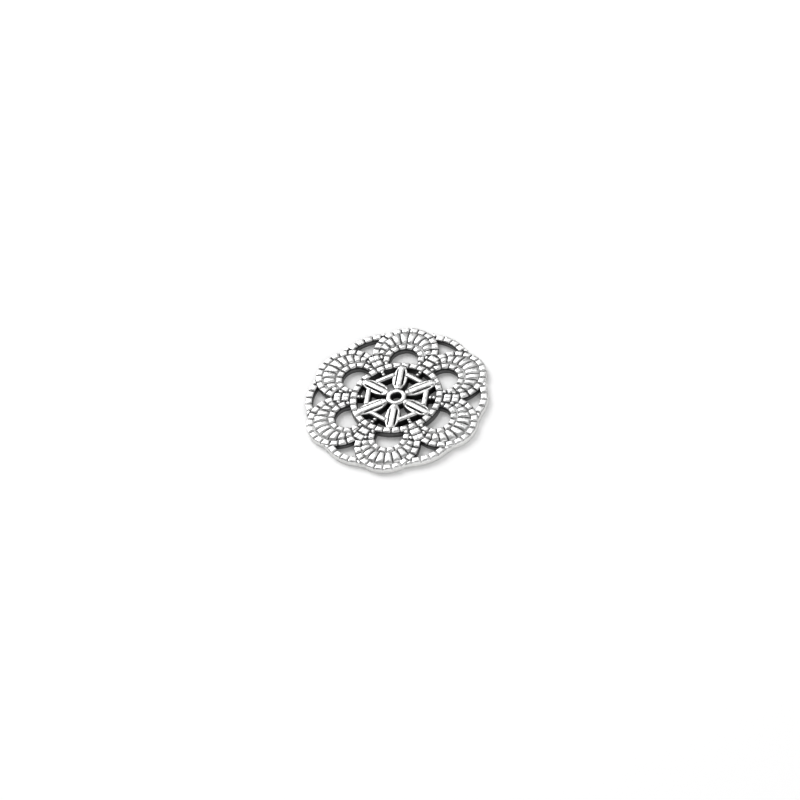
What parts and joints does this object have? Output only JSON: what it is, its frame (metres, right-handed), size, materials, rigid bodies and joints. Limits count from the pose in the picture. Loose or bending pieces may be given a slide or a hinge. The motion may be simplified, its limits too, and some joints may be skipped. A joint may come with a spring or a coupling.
{
  "type": "flower connector",
  "caption": "Round cast metal jewellery connector with a pierced petal rosette inside beaded fan-shaped lobes, joined by beaded arcs, with a flat back.",
  "frame": {"origin": "middle of the flat back, on the surface that it lies on", "axes": "+Z out of the front, square to the back; +X through the middle of a lobe"},
  "size_m": [0.0348, 0.034, 0.0017],
  "materials": {
    "antique_silver": "antique silver plate on cast zinc alloy, burnished bright on the raised faces, blackened in the grooves and gaps"
  },
  "bodies": {
    "root": {"casting": "antique_silver"}
  },
  "joints": []
}
